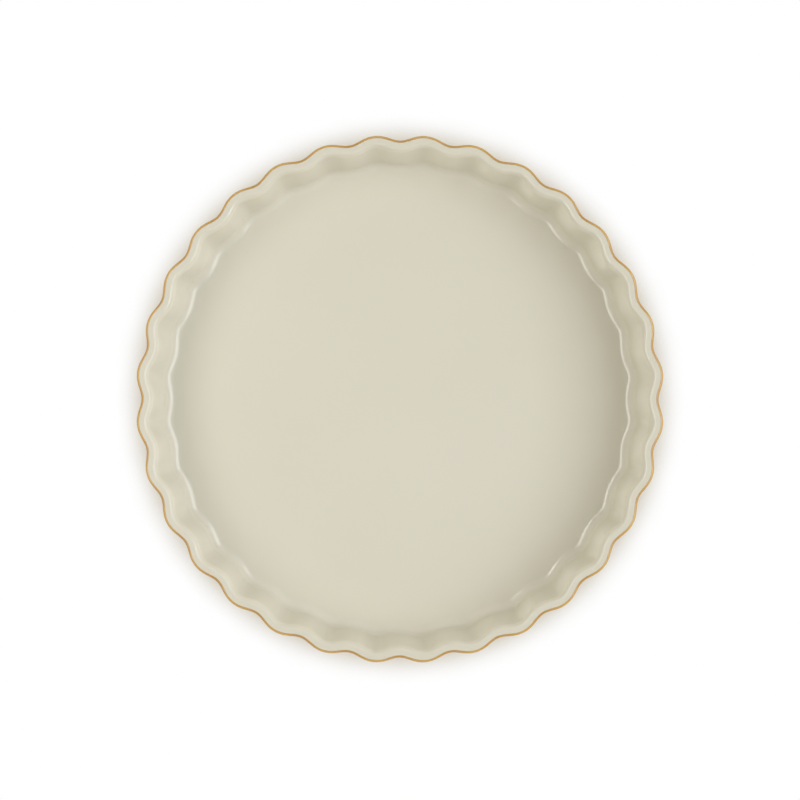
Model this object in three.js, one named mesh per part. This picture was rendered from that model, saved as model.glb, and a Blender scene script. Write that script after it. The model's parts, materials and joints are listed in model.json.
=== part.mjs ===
// A round fluted tart dish: one pressed stoneware body under three separate coats of fired glaze.
//
// Millimetres, +Z up. The origin is the middle of the foot's resting face and Z is the dish's axis.
// The section is drawn through a flute crest, as radius and height. The flutes are pressed in from there.

import * as THREE from "three";

// Overall size
const RIM_DIAMETER = 280; // across opposite flute crests, over the glaze
const DISH_HEIGHT = 42; // from the foot to the top of the rim, over the glaze

// Flutes
const FLUTE_COUNT = 32;
const RIM_FLUTE_DEPTH = 3.1; // from crest to hollow at the rim
const FLOOR_FLUTE_DEPTH = 2.1; // from crest to hollow where the wall meets the floor
const CREST_BROADENING = 0.07; // 0 gives a plain sine wave, more gives wider crests and narrower hollows

// Clay body
const WALL_LEAN = 12.9; // degrees that the wall leans out from upright
const WALL_THICKNESS = 5;
const FLOOR_THICKNESS = 6.2;
const FLOOR_FILLET = 6; // inside, between floor and wall
const BASE_ROUND = 5; // outside, between wall and underside
const RIM_OUTER_ROUND = 0.9;
const RIM_INNER_ROUND = 2.4;

// Foot ring, left bare
const FOOT_HEIGHT = 1.8;
const FOOT_WIDTH = 5;
const FOOT_INSET = 5; // from the flute hollows at the base to the foot's outer side
const FOOT_BEVEL = 0.5;

// Glaze
const GLAZE_THICKNESS = 0.4;
const GLAZE_WIPE = 1.2; // bare clay left beside the foot, where the glaze is wiped back before firing

// Facets
const STEPS_PER_FLUTE = 6;
const COLUMNS = FLUTE_COUNT * STEPS_PER_FLUTE;
const ROUND_STEPS = 2;
const FILLET_STEPS = 3;

// The ways that surfaces of the section face: 0 is straight out from the axis and a quarter turn is up.
const lean = THREE.MathUtils.degToRad(WALL_LEAN);
const UP = Math.PI / 2;
const DOWN = -Math.PI / 2;
const OUTWARD = -lean;
const INWARD = Math.PI - lean;

// Heights of the clay
const clayUnderside = FOOT_HEIGHT;
const clayFloor = clayUnderside + FLOOR_THICKNESS;
const clayTop = DISH_HEIGHT - GLAZE_THICKNESS;

// Middle of the round along the rim's outer edge, which carries the whole wall
const outerRim = {
  r: RIM_DIAMETER / 2 - GLAZE_THICKNESS - RIM_OUTER_ROUND,
  z: clayTop - RIM_OUTER_ROUND,
};

// A point at height z that lies a given distance inside the wall's leaning outer face.
function behindWall(distance, z) {
  const rise = (z - outerRim.z) * Math.sin(lean);
  return { r: outerRim.r + (RIM_OUTER_ROUND - distance + rise) / Math.cos(lean), z };
}

// Middles of the other rounds, each touching the wall and a level face
const innerRim = behindWall(WALL_THICKNESS - RIM_INNER_ROUND, clayTop - RIM_INNER_ROUND);
const floorFillet = behindWall(WALL_THICKNESS + FLOOR_FILLET, clayFloor + FLOOR_FILLET);
const baseRound = behindWall(BASE_ROUND, clayUnderside + BASE_ROUND);

// Sides of the foot ring, which is a plain circle inside the fluted base
const footOuter = baseRound.r - FLOOR_FLUTE_DEPTH - FOOT_INSET;
const footInner = footOuter - FOOT_WIDTH;

// How deep the flutes are pressed at a height: they die down from the rim to the floor.
function fluteDepth(z) {
  const share = THREE.MathUtils.clamp((z - clayFloor) / (clayTop - clayFloor), 0, 1);
  return THREE.MathUtils.lerp(FLOOR_FLUTE_DEPTH, RIM_FLUTE_DEPTH, share);
}

// How far round a flute a point is pressed in: 0 on a crest and 1 in the middle of a hollow.
function hollow(turn) {
  const phase = FLUTE_COUNT * turn;
  const wave = Math.cos(phase) + CREST_BROADENING * Math.cos(2 * phase);
  return (wave + 1 - CREST_BROADENING) / 2;
}

// A point of the section on a round face, which the flutes don't reach.
function plainPoint(r, z, facing) {
  return { r, z, facing, depth: 0 };
}

// Points along a rounded edge, turning from one facing to another. A negative radius makes a hollow fillet.
function roundedEdge(middle, radius, from, to, steps) {
  return Array.from({ length: steps + 1 }, (_, step) => {
    const facing = THREE.MathUtils.lerp(from, to, step / steps);
    const r = middle.r + radius * Math.cos(facing);
    const z = middle.z + radius * Math.sin(facing);
    return { r, z, facing, depth: fluteDepth(z) };
  });
}

// The clay's section in four stretches, from the middle of the underside round to the middle of the floor
const undersideLine = [
  plainPoint(0, clayUnderside, DOWN),
  plainPoint(footInner - GLAZE_WIPE, clayUnderside, DOWN),
];
const footLine = [
  plainPoint(footInner, clayUnderside, DOWN),
  plainPoint(footInner, FOOT_BEVEL, DOWN),
  plainPoint(footInner + FOOT_BEVEL, 0, DOWN),
  plainPoint(footOuter - FOOT_BEVEL, 0, DOWN),
  plainPoint(footOuter, FOOT_BEVEL, DOWN),
  plainPoint(footOuter, clayUnderside, DOWN),
];
const outsideLine = [
  plainPoint(footOuter + GLAZE_WIPE, clayUnderside, DOWN),
  ...roundedEdge(baseRound, BASE_ROUND, DOWN, OUTWARD, ROUND_STEPS),
  ...roundedEdge(outerRim, RIM_OUTER_ROUND, OUTWARD, UP, ROUND_STEPS),
];
const insideLine = [
  ...roundedEdge(innerRim, RIM_INNER_ROUND, UP, INWARD, ROUND_STEPS),
  ...roundedEdge(floorFillet, -FLOOR_FILLET, INWARD, UP, FILLET_STEPS),
  plainPoint(0, clayFloor, UP),
];

// The two colours of glaze meet where the top of the rim starts to round over.
const glazeSeam = outsideLine.at(-1);

// The outer surface of the glaze over a stretch of clay.
function glazed(line) {
  return line.map((point) => ({
    ...point,
    r: point.r === 0 ? 0 : point.r + GLAZE_THICKNESS * Math.cos(point.facing),
    z: point.z + GLAZE_THICKNESS * Math.sin(point.facing),
  }));
}

// Where a point of the section lies on the dish, at one of the columns of facets round it.
function onDish(point, column) {
  const turn = (2 * Math.PI * column) / COLUMNS;
  const r = point.r - point.depth * hollow(turn);
  return [r * Math.cos(turn), r * Math.sin(turn), point.z];
}

function isBelow(one, other) {
  return one.z === other.z ? one.r < other.r : one.z < other.z;
}

// A closed solid from a section that runs anticlockwise. One that starts on the axis ends there too, and any
// other closes on itself as a ring. Each quad is cut from its lower corner whichever way the section runs, so
// that a coat of glaze and the clay under it have the same facets where they meet.
function flutedSolid(section) {
  const positions = [];
  const rings = section.map((point) => {
    const first = positions.length / 3;
    const count = point.r === 0 ? 1 : COLUMNS;
    for (let column = 0; column < count; column++) {
      positions.push(...onDish(point, column));
    }
    return (column) => first + (column % count);
  });

  const corners = [];
  const bands = section[0].r === 0 ? section.length - 1 : section.length;
  for (let band = 0; band < bands; band++) {
    const next = (band + 1) % section.length;
    const rising = isBelow(section[band], section[next]);
    for (let column = 0; column < COLUMNS; column++) {
      const a = rings[band](column);
      const b = rings[band](column + 1);
      const c = rings[next](column + 1);
      const d = rings[next](column);
      const triangles = rising ? [[a, b, c], [a, c, d]] : [[a, b, d], [b, c, d]];
      corners.push(...triangles.filter((triangle) => new Set(triangle).size === 3).flat());
    }
  }

  const geometry = new THREE.BufferGeometry();
  geometry.setAttribute("position", new THREE.Float32BufferAttribute(positions, 3));
  geometry.setIndex(corners);
  geometry.computeVertexNormals();
  return geometry;
}

function piece(name, section, material) {
  const mesh = new THREE.Mesh(flutedSolid(section), material);
  mesh.name = name;
  return mesh;
}

// The fired clay: floor, fluted wall and foot ring are one pressing.
function stonewareBody() {
  const buffStoneware = new THREE.MeshStandardMaterial({ color: "#d8c8ae", roughness: 0.9, metalness: 0 });
  const section = [...undersideLine, ...footLine, ...outsideLine, ...insideLine];
  return piece("stoneware_body", section, buffStoneware);
}

// The cream coat over the floor, the inside of the wall and the top of the rim.
function interiorGlaze() {
  const creamGlaze = new THREE.MeshStandardMaterial({ color: "#dad5c2", roughness: 0.2, metalness: 0 });
  const clay = [glazeSeam, ...insideLine];
  return piece("interior_glaze", [...clay.toReversed(), ...glazed(clay)], creamGlaze);
}

const amberGlaze = new THREE.MeshStandardMaterial({ color: "#c69f52", roughness: 0.2, metalness: 0 });

// The amber coat from the rim's outer edge down the wall and under the base, as far as the wiped foot.
function exteriorGlaze() {
  return piece("exterior_glaze", [...glazed(outsideLine), ...outsideLine.toReversed()], amberGlaze);
}

// The amber coat on the underside, cut off from the rest by the bare foot ring.
function undersideGlaze() {
  return piece("underside_glaze", [...glazed(undersideLine), ...undersideLine.toReversed()], amberGlaze);
}

const dish = new THREE.Group();
dish.name = "tart_dish";
dish.add(stonewareBody(), interiorGlaze(), exteriorGlaze(), undersideGlaze());

export default dish;
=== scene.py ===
import json
import math

import bmesh
import bpy
from mathutils import Vector
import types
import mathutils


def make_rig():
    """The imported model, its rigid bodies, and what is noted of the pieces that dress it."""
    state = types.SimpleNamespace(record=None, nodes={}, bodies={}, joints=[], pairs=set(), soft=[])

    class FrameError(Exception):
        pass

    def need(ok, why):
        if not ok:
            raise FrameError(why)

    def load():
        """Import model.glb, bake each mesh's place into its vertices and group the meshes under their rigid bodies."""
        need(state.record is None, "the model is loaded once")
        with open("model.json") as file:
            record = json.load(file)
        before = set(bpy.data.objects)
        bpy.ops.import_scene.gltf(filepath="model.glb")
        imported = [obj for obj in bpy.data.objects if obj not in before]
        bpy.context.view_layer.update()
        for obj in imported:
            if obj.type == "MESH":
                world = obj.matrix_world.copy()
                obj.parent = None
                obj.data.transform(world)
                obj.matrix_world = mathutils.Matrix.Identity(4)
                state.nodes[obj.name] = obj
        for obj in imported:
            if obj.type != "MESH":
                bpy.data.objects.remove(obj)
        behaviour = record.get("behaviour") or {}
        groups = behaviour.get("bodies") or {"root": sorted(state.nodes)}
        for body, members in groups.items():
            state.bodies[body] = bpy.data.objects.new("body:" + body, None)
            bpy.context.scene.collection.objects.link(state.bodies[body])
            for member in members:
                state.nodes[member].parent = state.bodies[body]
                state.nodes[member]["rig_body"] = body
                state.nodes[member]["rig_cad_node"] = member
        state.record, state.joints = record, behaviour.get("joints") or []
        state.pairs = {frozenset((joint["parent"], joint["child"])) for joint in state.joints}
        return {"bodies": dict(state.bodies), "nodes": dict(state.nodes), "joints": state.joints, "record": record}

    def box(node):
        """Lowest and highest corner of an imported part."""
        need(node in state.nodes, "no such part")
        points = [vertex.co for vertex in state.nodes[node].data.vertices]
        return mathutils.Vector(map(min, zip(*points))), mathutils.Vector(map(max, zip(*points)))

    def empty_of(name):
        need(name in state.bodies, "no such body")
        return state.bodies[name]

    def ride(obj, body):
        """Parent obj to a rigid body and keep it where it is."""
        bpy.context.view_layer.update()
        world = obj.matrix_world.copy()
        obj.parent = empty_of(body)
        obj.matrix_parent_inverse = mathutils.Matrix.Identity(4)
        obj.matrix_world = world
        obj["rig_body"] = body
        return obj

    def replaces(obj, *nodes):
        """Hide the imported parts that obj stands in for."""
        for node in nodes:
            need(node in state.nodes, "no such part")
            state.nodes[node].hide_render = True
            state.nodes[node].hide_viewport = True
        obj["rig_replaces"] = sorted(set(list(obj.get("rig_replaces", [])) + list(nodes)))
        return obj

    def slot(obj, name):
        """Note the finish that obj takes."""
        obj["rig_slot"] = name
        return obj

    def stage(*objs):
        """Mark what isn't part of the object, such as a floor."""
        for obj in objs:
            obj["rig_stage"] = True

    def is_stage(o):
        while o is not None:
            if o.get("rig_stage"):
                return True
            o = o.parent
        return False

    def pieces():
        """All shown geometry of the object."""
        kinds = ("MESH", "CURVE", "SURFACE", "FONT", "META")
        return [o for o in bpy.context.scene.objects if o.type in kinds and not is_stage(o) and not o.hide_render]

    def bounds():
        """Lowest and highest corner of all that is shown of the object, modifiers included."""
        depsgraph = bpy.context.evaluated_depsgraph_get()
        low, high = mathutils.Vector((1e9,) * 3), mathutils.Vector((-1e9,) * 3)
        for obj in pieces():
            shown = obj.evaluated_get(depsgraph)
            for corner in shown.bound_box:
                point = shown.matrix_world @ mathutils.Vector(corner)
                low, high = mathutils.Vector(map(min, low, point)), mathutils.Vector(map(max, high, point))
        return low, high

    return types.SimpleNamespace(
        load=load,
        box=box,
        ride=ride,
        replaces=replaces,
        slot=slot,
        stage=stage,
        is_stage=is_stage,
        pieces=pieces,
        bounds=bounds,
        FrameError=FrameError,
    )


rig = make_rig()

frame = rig.load()
cad_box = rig.bounds()


# The pressed body: one piece of buff stoneware clay, squeezed between two moulds, so that the floor, the
# fluted wall and the foot ring come out together. It shows only at the foot, which is left bare to stand
# in the kiln.
MM = 0.001
FLUTES = 32
FLUTE_COLUMNS = 16  # columns of mesh in one flute
RIM_FLUTE_DEPTH = 3.1 * MM  # from crest to hollow
FLOOR_FLUTE_DEPTH = 2.1 * MM
FLUTE_FADE = 2  # 1 takes the flutes' depth out evenly down the wall, more takes it out nearer the floor
CREST_BROADENING = 0.07  # 0 gives a plain sine wave, more gives wider crests and narrower hollows
WALL_LEAN = math.radians(12.9)
WALL_ROWS = 10  # rows of mesh down the wall
RIM_OUTER_ROUND = 0.9 * MM
RIM_INNER_ROUND = 1.6 * MM
RIM_INNER_TURN = math.radians(56)  # how far the rim's inner edge turns over before the wall's flare takes on
RIM_FLARE = 8.0 * MM  # radius in which the inside of the wall opens out to the rim
RIM_FLAT = 2.28 * MM  # level top of the rim, between its two rounded edges
RIM_STEPS = 6  # steps of mesh in a rounded edge, here and in the next four
UNDER_RIM_STEPS = 2
FILLET_STEPS = 12
BASE_STEPS = 8
FOOT_STEPS = 4
FLOOR_FILLET = 6.0 * MM
BASE_ROUND = 5.0 * MM
FLOOR_THICKNESS = 6.2 * MM
FOOT_HEIGHT = 1.8 * MM
FOOT_ROUND = 0.7 * MM
FOOT_OUTER = 119.63 * MM
FOOT_INNER = 114.63 * MM
GLAZE_WIPE = 1.2 * MM  # bare clay beside the foot, where the glaze is wiped back before firing
FLAT_EDGE = 1.0 * MM  # level border that keeps the shading of a flat face flat
CRISP_EDGE = math.radians(40)  # edges that turn by more than this stay crisp

clay_points = frame["nodes"]["stoneware_body"].data.vertices
clay_reach = max(point.co.xy.length for point in clay_points)
clay_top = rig.box("stoneware_body")[1].z
clay_floor = FOOT_HEIGHT + FLOOR_THICKNESS
widest_height = clay_top - RIM_OUTER_ROUND
UP, DOWN = 1, -1


def open_for_editing(piece):
    """Makes a piece the only one selected and opens its mesh."""
    bpy.ops.object.select_all(action="DESELECT")
    piece.select_set(True)
    bpy.context.view_layer.objects.active = piece
    bpy.ops.object.mode_set(mode="EDIT")
    return bmesh.from_edit_mesh(piece.data)


def select(mesh, parts, wanted):
    """Selects the points, edges or faces of an open mesh that are wanted, and nothing else."""
    bpy.ops.mesh.select_all(action="DESELECT")
    for part in parts:
        if wanted(part):
            part.select_set(True)
    mesh.select_flush_mode()
    bmesh.update_edit_mesh(bpy.context.object.data)


def hollow(column):
    """How far a column of a flute is pressed in: 1 in the middle of a hollow and 0 on a crest."""
    turn = 2 * math.pi * column / FLUTE_COLUMNS
    wave = math.cos(turn) + CREST_BROADENING * math.cos(2 * turn)
    return (wave + 1 - CREST_BROADENING) / 2


def column_of(point):
    """The column of its flute that a point is in, counted from the middle of the hollow."""
    turn = math.atan2(point.co.y, point.co.x) / (2 * math.pi)
    return round(turn * FLUTES * FLUTE_COLUMNS) % FLUTE_COLUMNS


def inset_round(radius, start, end, steps, facing):
    """Turns the selected face's border through a rounded edge, from one slope to another, in even insets.
    A slope of 0 faces out from the axis, a quarter turn faces up, and a negative radius makes a fillet."""
    slopes = [start + (end - start) * step / steps for step in range(steps + 1)]
    for slope, following in zip(slopes, slopes[1:]):
        inward = radius * (math.cos(slope) - math.cos(following))
        rise = radius * (math.sin(following) - math.sin(slope))
        bpy.ops.mesh.inset(thickness=inward, depth=rise * facing)


def crest_radius():
    """How far the selected outline reaches from the axis."""
    mesh = bmesh.from_edit_mesh(bpy.context.object.data)
    return max(point.co.xy.length for point in mesh.verts if point.select)


def soften_flutes(share, radius):
    """Takes a share of the depth out of the selected outline's flutes, and brings its crests to a radius."""
    bpy.ops.transform.tosphere(value=share)
    scale = radius / crest_radius()
    bpy.ops.transform.resize(value=(scale, scale, 1), center_override=(0, 0, 0))


def lean_wall(rise):
    """Draws the selected face along the leaning wall, in rows that narrow towards its foot, where the
    flutes die down."""
    crest = crest_radius()
    narrowing = abs(rise) / WALL_ROWS * math.tan(WALL_LEAN)
    depth = RIM_FLUTE_DEPTH
    for row in range(1, WALL_ROWS + 1):
        crest -= narrowing
        faded = (row / WALL_ROWS) ** FLUTE_FADE
        row_depth = RIM_FLUTE_DEPTH - (RIM_FLUTE_DEPTH - FLOOR_FLUTE_DEPTH) * faded
        bpy.ops.mesh.extrude_region_move(TRANSFORM_OT_translate={"value": (0, 0, rise / WALL_ROWS)})
        soften_flutes(1 - row_depth / depth, crest)
        depth = row_depth


bpy.ops.object.select_all(action="DESELECT")
bpy.ops.mesh.primitive_circle_add(
    vertices=FLUTES * FLUTE_COLUMNS,
    radius=clay_reach,
    fill_type="NGON",
    location=(0, 0, widest_height),
)
body = bpy.context.object
body.name = "pressed_body"
bpy.ops.object.transform_apply(location=True)
mesh = open_for_editing(body)
bpy.ops.mesh.select_mode(type="VERT")
for column in range(FLUTE_COLUMNS):
    select(mesh, mesh.verts, lambda point: column_of(point) == column)
    pressed = 1 - RIM_FLUTE_DEPTH / clay_reach * hollow(column)
    bpy.ops.transform.resize(value=(pressed, pressed, 1), center_override=(0, 0, 0))
bpy.ops.mesh.select_all(action="SELECT")

# The inside: over the rim, down the wall, round the fillet and across the floor
quarter = math.pi / 2
flare_top = clay_top - RIM_INNER_ROUND * (1 - math.cos(RIM_INNER_TURN))
inner_wall_top = flare_top - RIM_FLARE * (math.cos(RIM_INNER_TURN) - math.sin(WALL_LEAN))
inner_wall_foot = clay_floor + FLOOR_FILLET * (1 - math.sin(WALL_LEAN))
inset_round(RIM_OUTER_ROUND, 0, quarter, RIM_STEPS, UP)
bpy.ops.mesh.inset(thickness=RIM_FLAT, depth=0)
inset_round(RIM_INNER_ROUND, quarter, quarter + RIM_INNER_TURN, RIM_STEPS, UP)
inset_round(RIM_FLARE, quarter + RIM_INNER_TURN, 2 * quarter - WALL_LEAN, RIM_STEPS, UP)
lean_wall(inner_wall_foot - inner_wall_top)
inset_round(-FLOOR_FILLET, 2 * quarter - WALL_LEAN, quarter, FILLET_STEPS, UP)
bpy.ops.mesh.inset(thickness=FLAT_EDGE, depth=0)
bpy.ops.mesh.poke()

# The outside: down the wall, round the base, over the foot ring and across the underside
mesh = bmesh.from_edit_mesh(body.data)
select(mesh, mesh.edges, lambda edge: edge.is_boundary)
bpy.ops.mesh.edge_face_add()
outer_wall_top = widest_height - RIM_OUTER_ROUND * math.sin(WALL_LEAN)
outer_wall_foot = FOOT_HEIGHT + BASE_ROUND * (1 - math.sin(WALL_LEAN))
inset_round(RIM_OUTER_ROUND, 0, -WALL_LEAN, UNDER_RIM_STEPS, DOWN)
lean_wall(outer_wall_foot - outer_wall_top)
inset_round(BASE_ROUND, -WALL_LEAN, -quarter, BASE_STEPS, DOWN)
bpy.ops.mesh.inset(thickness=FLAT_EDGE, depth=0)
bpy.ops.mesh.inset(thickness=FLAT_EDGE, depth=0)
soften_flutes(1, FOOT_OUTER + GLAZE_WIPE)
bpy.ops.mesh.inset(thickness=GLAZE_WIPE, depth=0)
bpy.ops.mesh.inset(thickness=0, depth=FOOT_HEIGHT - FOOT_ROUND)
inset_round(FOOT_ROUND, 0, -quarter, FOOT_STEPS, DOWN)
bpy.ops.mesh.inset(thickness=FOOT_OUTER - FOOT_INNER - 2 * FOOT_ROUND, depth=0)
inset_round(FOOT_ROUND, -quarter, -2 * quarter, FOOT_STEPS, DOWN)
bpy.ops.mesh.inset(thickness=0, depth=FOOT_ROUND - FOOT_HEIGHT)
bpy.ops.mesh.inset(thickness=GLAZE_WIPE, depth=0)
bpy.ops.mesh.inset(thickness=FLAT_EDGE, depth=0)
bpy.ops.mesh.poke()
bpy.ops.mesh.select_all(action="SELECT")
bpy.ops.mesh.normals_make_consistent(inside=False)
bpy.ops.object.mode_set(mode="OBJECT")
bpy.ops.object.shade_smooth_by_angle(angle=CRISP_EDGE)


def linear(colour):
    """An sRGB hex colour as the linear red, green, blue and alpha that a shader takes."""
    shares = [int(colour[start : start + 2], 16) / 255 for start in (1, 3, 5)]
    return [
        share / 12.92 if share <= 0.04045 else ((share + 0.055) / 1.055) ** 2.4
        for share in shares
    ] + [1]


def add_node(tree, kind, inputs, **settings):
    """Adds a node with its settings, and sets its inputs or links them to other nodes' outputs."""
    node = tree.nodes.new(kind)
    for name, value in settings.items():
        setattr(node, name, value)
    for name, value in inputs.items():
        if isinstance(value, bpy.types.NodeSocket):
            tree.links.new(value, node.inputs[name])
        else:
            node.inputs[name].default_value = value
    return node


def new_material(name):
    """An empty material and its node tree."""
    material = bpy.data.materials.new(name)
    material.use_nodes = True
    material.node_tree.nodes.clear()
    return material, material.node_tree


def noise_scale(blob):
    """The scale at which the blobs of a noise pattern, half a period each, are about that wide."""
    return 0.5 / blob


# The colour inputs and output of a Mix node, which shares their names with other inputs
SHARE, FIRST, SECOND, MIXED = 0, 6, 7, 2

# Buff stoneware, fired without glaze: pale, dry and matt, with sand in the clay and a few specks of iron.
SAND_GRAIN = 0.5 * MM
SAND_HEIGHT = 0.04 * MM
SPECK_RADIUS = 0.4 * MM
SPECK_SPACING = 6.0 * MM
SPECK_SOFTNESS = 0.4  # share of its radius in which the edge of a speck fades, either way
SPECK_STRENGTH = 0.7
stoneware, tree = new_material("buff_stoneware")
place = add_node(tree, "ShaderNodeTexCoord", {}).outputs["Object"]
sand = add_node(
    tree,
    "ShaderNodeTexNoise",
    {"Vector": place, "Scale": noise_scale(SAND_GRAIN), "Detail": 3.0},
)
iron = add_node(tree, "ShaderNodeTexVoronoi", {"Vector": place, "Scale": 1 / SPECK_SPACING})
speck_share = SPECK_RADIUS / SPECK_SPACING
iron_speck = add_node(
    tree,
    "ShaderNodeMapRange",
    {
        "Value": iron.outputs["Distance"],
        "From Min": (1 - SPECK_SOFTNESS) * speck_share,
        "From Max": (1 + SPECK_SOFTNESS) * speck_share,
        "To Min": SPECK_STRENGTH,
        "To Max": 0.0,
    },
)
sandy = add_node(
    tree,
    "ShaderNodeMix",
    {SHARE: sand.outputs["Fac"], FIRST: linear("#c9b797"), SECOND: linear("#e2d5bd")},
    data_type="RGBA",
)
specked = add_node(
    tree,
    "ShaderNodeMix",
    {SHARE: iron_speck.outputs["Result"], FIRST: sandy.outputs[MIXED], SECOND: linear("#7d5a3c")},
    data_type="RGBA",
)
sandy_bump = add_node(
    tree,
    "ShaderNodeBump",
    {"Height": sand.outputs["Fac"], "Strength": 0.6, "Distance": SAND_HEIGHT},
)
fired_clay = add_node(
    tree,
    "ShaderNodeBsdfPrincipled",
    {
        "Base Color": specked.outputs[MIXED],
        "Roughness": 0.88,
        "IOR": 1.5,
        "Normal": sandy_bump.outputs["Normal"],
    },
)
add_node(tree, "ShaderNodeOutputMaterial", {"Surface": fired_clay.outputs["BSDF"]})
body.data.materials.append(stoneware)
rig.ride(body, "root")
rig.replaces(body, "stoneware_body")
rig.slot(body, "bare_stoneware")


# The cream coat: an opaque liner glaze, poured into the dish before firing, so that it covers the floor,
# the inner wall and the top of the rim in one skin, fused to the clay.
LEVEL = 0.01  # a face that looks outwards by less than this looks up, down or in
glaze_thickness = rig.box("interior_glaze")[1].z - clay_top


def outward(face):
    """How far a face looks away from the dish's axis: 1 straight out, 0 up or down, -1 straight in."""
    return face.normal.xy.dot(face.calc_center_median().xy.normalized())


def in_the_well(face):
    """Whether a face of the clay is on the rim's top, the inner wall or the floor."""
    above_the_underside = face.calc_center_median().z > clay_floor / 2
    return above_the_underside and outward(face) < LEVEL


def lay_glaze(name, covers):
    """Copies the faces of the clay that a coat covers into a piece of its own, and thickens them outwards.
    The copy starts with the body's material and marks, which are taken off it."""
    mesh = open_for_editing(body)
    bpy.ops.mesh.select_mode(type="FACE")
    select(mesh, mesh.faces, covers)
    bpy.ops.mesh.duplicate()
    bpy.ops.mesh.separate(type="SELECTED")
    bpy.ops.object.mode_set(mode="OBJECT")
    coat = next(piece for piece in bpy.context.selected_objects if piece != body)
    coat.name = name
    coat.id_properties_clear()
    coat.data.materials.clear()
    bpy.ops.object.select_all(action="DESELECT")
    coat.select_set(True)
    bpy.context.view_layer.objects.active = coat
    bpy.ops.object.modifier_add(type="SOLIDIFY")
    skin = coat.modifiers[-1]
    skin.thickness = glaze_thickness
    skin.offset = 1
    skin.use_even_offset = True
    skin.use_quality_normals = True
    bpy.ops.object.modifier_apply(modifier=skin.name)
    bpy.ops.object.shade_smooth_by_angle(angle=CRISP_EDGE)
    return coat


cream_coat = lay_glaze("cream_glaze_coat", in_the_well)


def flute_wave(tree, place):
    """The cosine of the turn within a flute: 1 in the middle of a hollow and -1 on a crest."""
    axes = add_node(tree, "ShaderNodeSeparateXYZ", {"Vector": place}).outputs
    turn = add_node(tree, "ShaderNodeMath", {0: axes["Y"], 1: axes["X"]}, operation="ARCTAN2")
    flute_turn = add_node(
        tree,
        "ShaderNodeMath",
        {0: turn.outputs["Value"], 1: float(FLUTES)},
        operation="MULTIPLY",
    )
    wave = add_node(tree, "ShaderNodeMath", {0: flute_turn.outputs["Value"]}, operation="COSINE")
    return wave.outputs["Value"]


# Opaque cream glaze: glossy and even, with a faint orange-peel skin and slow drifts in tone where it lies
# thicker. Painted shade makes it a touch darker in the pockets inside the crests of the flutes, up the wall,
# and it is a touch deeper on top of the rim, where it runs thin and the clay starts to show through.
ORANGE_PEEL = 1.8 * MM
PEEL_HEIGHT = 0.004 * MM
DRIFT = 40 * MM
THIN_BAND = 1.5 * MM  # how far below the rim the glaze starts to run thin
POCKET_SHADE_START = 0.4  # the flute wave at which the painted shade in the pockets starts, towards the crest
CREAM_SMOOTHEST = 0.08
CREAM_ROUGHEST = 0.14
cream, tree = new_material("cream_liner_glaze")
place = add_node(tree, "ShaderNodeTexCoord", {}).outputs["Object"]
drift = add_node(
    tree,
    "ShaderNodeTexNoise",
    {"Vector": place, "Scale": noise_scale(DRIFT), "Detail": 2.0},
)
peel = add_node(
    tree,
    "ShaderNodeTexNoise",
    {"Vector": place, "Scale": noise_scale(ORANGE_PEEL), "Detail": 1.0},
)
cream_tone = add_node(
    tree,
    "ShaderNodeMix",
    {SHARE: drift.outputs["Fac"], FIRST: linear("#d6d2c0"), SECOND: linear("#dad6c5")},
    data_type="RGBA",
)
cream_height = add_node(tree, "ShaderNodeSeparateXYZ", {"Vector": place}).outputs["Z"]
on_the_wall = add_node(
    tree,
    "ShaderNodeMapRange",
    {
        "Value": cream_height,
        "From Min": clay_floor + glaze_thickness,
        "From Max": clay_floor + FLOOR_FILLET,
    },
)
# Painted shade: darker cream in the pockets inside the crests, from the fillet up the wall
pocket_shade = add_node(
    tree,
    "ShaderNodeMapRange",
    {
        "Value": flute_wave(tree, place),
        "From Min": POCKET_SHADE_START,
        "From Max": -1.0,
        "To Max": on_the_wall.outputs["Result"],
    },
)
# the colour of the painted shade in the pockets
pocket_shaded_tone = add_node(
    tree,
    "ShaderNodeMix",
    {SHARE: pocket_shade.outputs["Result"], FIRST: cream_tone.outputs[MIXED], SECOND: linear("#d4d0be")},
    data_type="RGBA",
)
thinning = add_node(
    tree,
    "ShaderNodeMapRange",
    {
        "Value": cream_height,
        "From Min": clay_top - THIN_BAND,
        "From Max": clay_top + glaze_thickness,
    },
    interpolation_type="SMOOTHSTEP",
)
thinned_tone = add_node(
    tree,
    "ShaderNodeMix",
    {SHARE: thinning.outputs["Result"], FIRST: pocket_shaded_tone.outputs[MIXED], SECOND: linear("#d3cfbd")},
    data_type="RGBA",
)
cream_gloss = add_node(
    tree,
    "ShaderNodeMapRange",
    {"Value": drift.outputs["Fac"], "To Min": CREAM_SMOOTHEST, "To Max": CREAM_ROUGHEST},
)
peel_bump = add_node(
    tree,
    "ShaderNodeBump",
    {"Height": peel.outputs["Fac"], "Strength": 0.5, "Distance": PEEL_HEIGHT},
)
cream_shader = add_node(
    tree,
    "ShaderNodeBsdfPrincipled",
    {
        "Base Color": thinned_tone.outputs[MIXED],
        "Roughness": cream_gloss.outputs["Result"],
        "IOR": 1.5,
        "Normal": peel_bump.outputs["Normal"],
    },
)
add_node(tree, "ShaderNodeOutputMaterial", {"Surface": cream_shader.outputs["BSDF"]})
cream_coat.data.materials.append(cream)
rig.ride(cream_coat, "root")
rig.replaces(cream_coat, "interior_glaze")
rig.slot(cream_coat, "cream_glaze")


# The amber coats: a tinted glaze sprayed on the outside, from the rim's outer edge down the wall and under
# the base, and again on the underside. The bare foot ring keeps the two apart, and their edges there are
# wiped and rounded.
WIPED_EDGE = 0.25 * MM  # rounding of the glaze where it was wiped
WIPED_STEPS = 3
EDGE_REACH = 0.1 * MM  # how near to an edge a point counts as being on it
outer_wipe = FOOT_OUTER + GLAZE_WIPE
inner_wipe = FOOT_INNER - GLAZE_WIPE


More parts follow.
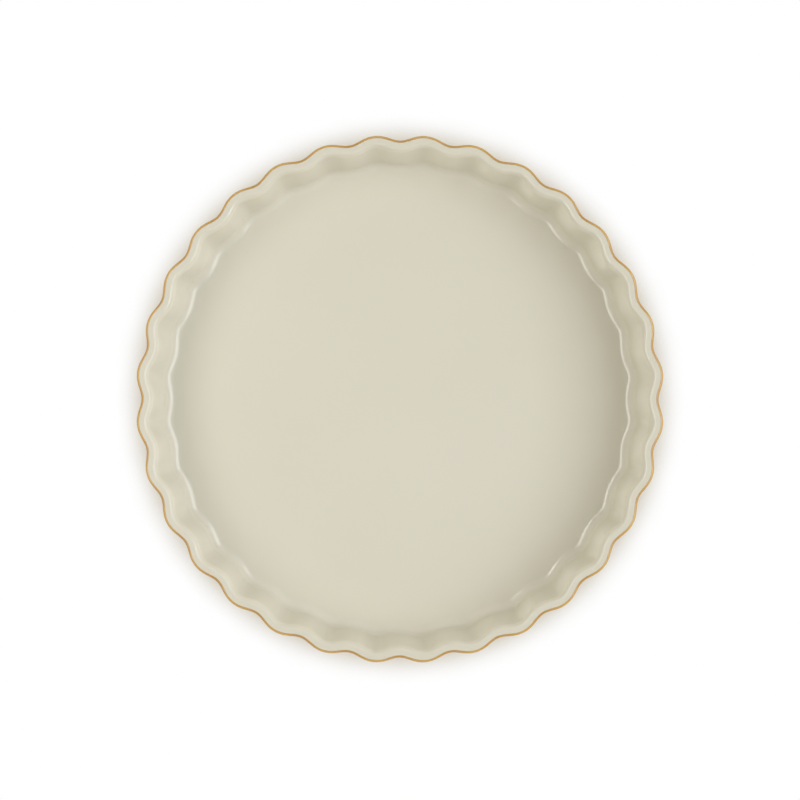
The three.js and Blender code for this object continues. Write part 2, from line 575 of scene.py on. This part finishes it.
def on_the_outside(face):
    """Whether a face of the clay is on the outer wall or on the base outside the foot."""
    return face.calc_center_median().xy.length > outer_wipe and not in_the_well(face)


def under_the_floor(face):
    """Whether a face of the clay is on the underside, inside the foot."""
    return face.calc_center_median().xy.length < inner_wipe and not in_the_well(face)


def round_wiped_edge(coat, radius):
    """Rounds the lower edge of a coat's border beside the foot, which is a circle of that radius."""
    mesh = open_for_editing(coat)
    bpy.ops.mesh.select_mode(type="EDGE")
    lowest = min(point.co.z for point in mesh.verts)

    def on_the_edge(edge):
        return all(
            abs(point.co.xy.length - radius) < EDGE_REACH and point.co.z - lowest < EDGE_REACH
            for point in edge.verts
        )

    select(mesh, mesh.edges, on_the_edge)
    bpy.ops.mesh.bevel(offset=WIPED_EDGE, segments=WIPED_STEPS, affect="EDGES")
    bpy.ops.object.mode_set(mode="OBJECT")
    bpy.ops.object.shade_smooth_by_angle(angle=CRISP_EDGE)


wall_coat = lay_glaze("amber_wall_coat", on_the_outside)
round_wiped_edge(wall_coat, outer_wipe)
base_coat = lay_glaze("amber_base_coat", under_the_floor)
round_wiped_edge(base_coat, inner_wipe)

# Tinted amber glaze: glossy and a little see-through, so it is paler where it runs thin over the crests and
# deeper where it pools in the hollows and towards the base. The next four shares say how much deeper.
POOLED = 0.45
SAGGED = 0.35
RUN_THIN = -0.15
RUN_THICK = 0.25
RUN = 14 * MM  # width of the drifts that the running glaze leaves
AMBER_SMOOTHEST = 0.12
AMBER_ROUGHEST = 0.2
amber, tree = new_material("amber_glaze")
place = add_node(tree, "ShaderNodeTexCoord", {}).outputs["Object"]
amber_height = add_node(tree, "ShaderNodeSeparateXYZ", {"Vector": place}).outputs["Z"]
fluted = add_node(
    tree,
    "ShaderNodeMapRange",
    {
        "Value": amber_height,
        "From Min": FOOT_HEIGHT,
        "From Max": FOOT_HEIGHT + BASE_ROUND,
        "To Max": POOLED,
    },
)
pooling = add_node(
    tree,
    "ShaderNodeMapRange",
    {
        "Value": flute_wave(tree, place),
        "From Min": -1.0,
        "From Max": 1.0,
        "To Max": fluted.outputs["Result"],
    },
)
sagging = add_node(
    tree,
    "ShaderNodeMapRange",
    {"Value": amber_height, "From Min": 0.0, "From Max": clay_top, "To Min": SAGGED, "To Max": 0.0},
)
run = add_node(
    tree,
    "ShaderNodeTexNoise",
    {"Vector": place, "Scale": noise_scale(RUN), "Detail": 3.0},
)
run_share = add_node(
    tree,
    "ShaderNodeMapRange",
    {"Value": run.outputs["Fac"], "To Min": RUN_THIN, "To Max": RUN_THICK},
)
thickness = add_node(
    tree,
    "ShaderNodeMath",
    {0: pooling.outputs["Result"], 1: sagging.outputs["Result"]},
)
uneven_thickness = add_node(
    tree,
    "ShaderNodeMath",
    {0: thickness.outputs["Value"], 1: run_share.outputs["Result"]},
    use_clamp=True,
)
amber_tone = add_node(
    tree,
    "ShaderNodeMix",
    {SHARE: uneven_thickness.outputs["Value"], FIRST: linear("#c69f52"), SECOND: linear("#a4722c")},
    data_type="RGBA",
)
amber_peel = add_node(
    tree,
    "ShaderNodeTexNoise",
    {"Vector": place, "Scale": noise_scale(ORANGE_PEEL), "Detail": 1.0},
)
amber_bump = add_node(
    tree,
    "ShaderNodeBump",
    {"Height": amber_peel.outputs["Fac"], "Strength": 0.5, "Distance": PEEL_HEIGHT},
)
amber_gloss = add_node(
    tree,
    "ShaderNodeMapRange",
    {"Value": run.outputs["Fac"], "To Min": AMBER_SMOOTHEST, "To Max": AMBER_ROUGHEST},
)
amber_shader = add_node(
    tree,
    "ShaderNodeBsdfPrincipled",
    {
        "Base Color": amber_tone.outputs[MIXED],
        "Roughness": amber_gloss.outputs["Result"],
        "IOR": 1.52,
        "Normal": amber_bump.outputs["Normal"],
    },
)
add_node(tree, "ShaderNodeOutputMaterial", {"Surface": amber_shader.outputs["BSDF"]})
for coat, node in ((wall_coat, "exterior_glaze"), (base_coat, "underside_glaze")):
    coat.data.materials.append(amber)
    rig.ride(coat, "root")
    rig.replaces(coat, node)
    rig.slot(coat, "amber_glaze")


# The setting: a white paper sweep under the dish. It gives back light as paper does, and the eye sees it
# as plain white with a painted shadow round the dish's foot, darker where less of the sky is open to it.
PAPER_SIZE = 8.0
SHADOW_REACH = 30 * MM
SHADOW_OPENNESS = 0.35  # how open to the sky the paper is where the shadow is full
WHITE_OPENNESS = 0.9  # and where the shadow ends
CONTACT_OPENNESS = 0.5  # below this the shadow turns darker, towards the line of contact
bpy.ops.object.select_all(action="DESELECT")
bpy.ops.mesh.primitive_plane_add(size=PAPER_SIZE)
sweep = bpy.context.object
sweep.name = "paper_sweep"


def seen_directly(tree):
    """1 for the rays by which the eye sees a surface, straight, mirrored or through glass, and 0 for
    other light."""
    ray = add_node(tree, "ShaderNodeLightPath", {}).outputs
    kinds = {0: ray["Is Camera Ray"], 1: ray["Is Glossy Ray"]}
    straight_or_mirrored = add_node(tree, "ShaderNodeMath", kinds, operation="MAXIMUM")
    kinds = {0: straight_or_mirrored.outputs["Value"], 1: ray["Is Transmission Ray"]}
    return add_node(tree, "ShaderNodeMath", kinds, operation="MAXIMUM").outputs["Value"]


paper, tree = new_material("white_paper")
lit_paper = add_node(tree, "ShaderNodeBsdfDiffuse", {"Color": linear("#f4f3f0")})
openness = add_node(tree, "ShaderNodeAmbientOcclusion", {"Distance": SHADOW_REACH})
brightness = add_node(
    tree,
    "ShaderNodeMapRange",
    {"Value": openness.outputs["AO"], "From Min": SHADOW_OPENNESS, "From Max": WHITE_OPENNESS},
    interpolation_type="SMOOTHSTEP",
)
# Painted shadow: darkest at the line where the dish stands on the paper
contact = add_node(
    tree,
    "ShaderNodeMapRange",
    {"Value": openness.outputs["AO"], "From Min": 0.0, "From Max": CONTACT_OPENNESS},
)
# Painted shadow, tinted warm as by light off the amber glaze: dark brown where the dish meets the paper, warm grey
# beyond
painted_shadow_tone = add_node(
    tree,
    "ShaderNodeMix",
    {SHARE: contact.outputs["Result"], FIRST: linear("#54422f"), SECOND: linear("#a69567")},
    data_type="RGBA",
)
# The white that the eye sees, with the painted shadow mixed in where the paper is less open to the sky
white_with_painted_shadow = add_node(
    tree,
    "ShaderNodeMix",
    {SHARE: brightness.outputs["Result"], FIRST: painted_shadow_tone.outputs[MIXED], SECOND: linear("#ffffff")},
    data_type="RGBA",
)
white_paper = add_node(
    tree,
    "ShaderNodeEmission",
    {"Color": white_with_painted_shadow.outputs[MIXED], "Strength": 1.0},
)
paper_look = add_node(
    tree,
    "ShaderNodeMixShader",
    {0: seen_directly(tree), 1: lit_paper.outputs["BSDF"], 2: white_paper.outputs["Emission"]},
)
add_node(tree, "ShaderNodeOutputMaterial", {"Surface": paper_look.outputs["Shader"]})
sweep.data.materials.append(paper)
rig.stage(sweep)

# The studio round it: white to the eye, with a warm glow near the horizon that lights the flutes from all
# sides.
HORIZON_GLOW = 1.32
GLOW_TOP = math.radians(60)  # elevation at which the glow ends
OVERHEAD = 0.072
studio = bpy.data.worlds.new("white_studio")
studio.use_nodes = True
tree = studio.node_tree
tree.nodes.clear()
direction = add_node(tree, "ShaderNodeTexCoord", {}).outputs["Generated"]
height = add_node(tree, "ShaderNodeSeparateXYZ", {"Vector": direction}).outputs["Z"]
glow = add_node(
    tree,
    "ShaderNodeMapRange",
    {"Value": height, "From Max": math.sin(GLOW_TOP), "To Min": HORIZON_GLOW, "To Max": OVERHEAD},
)
glowing = add_node(
    tree,
    "ShaderNodeBackground",
    {"Color": linear("#fffaf4"), "Strength": glow.outputs["Result"]},
)
white = add_node(tree, "ShaderNodeBackground", {"Color": linear("#ffffff"), "Strength": 1.0})
studio_look = add_node(
    tree,
    "ShaderNodeMixShader",
    {0: seen_directly(tree), 1: glowing.outputs["Background"], 2: white.outputs["Background"]},
)
add_node(tree, "ShaderNodeOutputWorld", {"Surface": studio_look.outputs["Shader"]})
bpy.context.scene.world = studio


# The light: a large cool soft box on the right and a nearer one on the left, which the glaze doesn't
# mirror. What it mirrors on that side is a brighter panel higher up, which gives no other light.
def soft_box(name, azimuth, elevation, distance, width, height, brightness, colour):
    """A rectangular lamp that faces the dish. Azimuth 0 is to the right of the picture and 90 is its top.
    Its brightness is that of its face, where white paper in its full light would be 1."""
    round_turn = math.radians(azimuth)
    upward_turn = math.radians(elevation)
    level = math.cos(upward_turn)
    direction = Vector((
        math.cos(round_turn) * level,
        math.sin(round_turn) * level,
        math.sin(upward_turn),
    ))
    bpy.ops.object.light_add(type="AREA", location=direction * distance)
    lamp = bpy.context.object
    lamp.name = name
    lamp.rotation_euler = direction.to_track_quat("Z", "Y").to_euler()
    lamp.data.shape = "RECTANGLE"
    lamp.data.size = width
    lamp.data.size_y = height
    lamp.data.energy = brightness * math.pi * width * height
    lamp.data.color = linear(colour)[:3]
    return lamp


soft_box(
    "right_soft_box",
    azimuth=0,
    elevation=45.5,
    distance=3.0,
    width=2.8,
    height=1.9,
    brightness=3.73,
    colour="#f5f8ff",
)
left_box = soft_box(
    "left_soft_box",
    azimuth=180,
    elevation=51,
    distance=1.2,
    width=1.1,
    height=0.45,
    brightness=3.46,
    colour="#fffdf6",
)
left_box.visible_glossy = False
panel = soft_box(
    "left_panel",
    azimuth=180,
    elevation=66,
    distance=2.0,
    width=1.3,
    height=0.8,
    brightness=5.0,
    colour="#ffffff",
)
panel.visible_diffuse = False

# The camera: straight above the dish, as in the photograph, where the dish is a little above the middle.
# Its sensor is in millimetres and its distance in metres.
SENSOR = 36.0
CAMERA_DISTANCE = 2.2  # from the rim
PICTURE_WIDTH = 423.27 * MM  # how much the picture spans at the level of the rim
PICTURE_DROP = 0.48 * MM  # from the dish's axis down to the middle of the picture
CAMERA_ROLL = math.radians(0.08)
rim_top = clay_top + glaze_thickness
bpy.ops.object.camera_add(
    location=(0, -PICTURE_DROP, rim_top + CAMERA_DISTANCE),
    rotation=(0, 0, CAMERA_ROLL),
)
camera = bpy.context.object
camera.data.sensor_width = SENSOR
camera.data.lens = SENSOR * CAMERA_DISTANCE / PICTURE_WIDTH
bpy.context.scene.camera = camera
bpy.context.scene.view_settings.view_transform = "Standard"

visual_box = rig.bounds()
with open("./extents.json", "w") as size_file:
    boxes = {"cad": cad_box, "visual": visual_box}
    json.dump({name: [list(corner) for corner in box] for name, box in boxes.items()}, size_file)
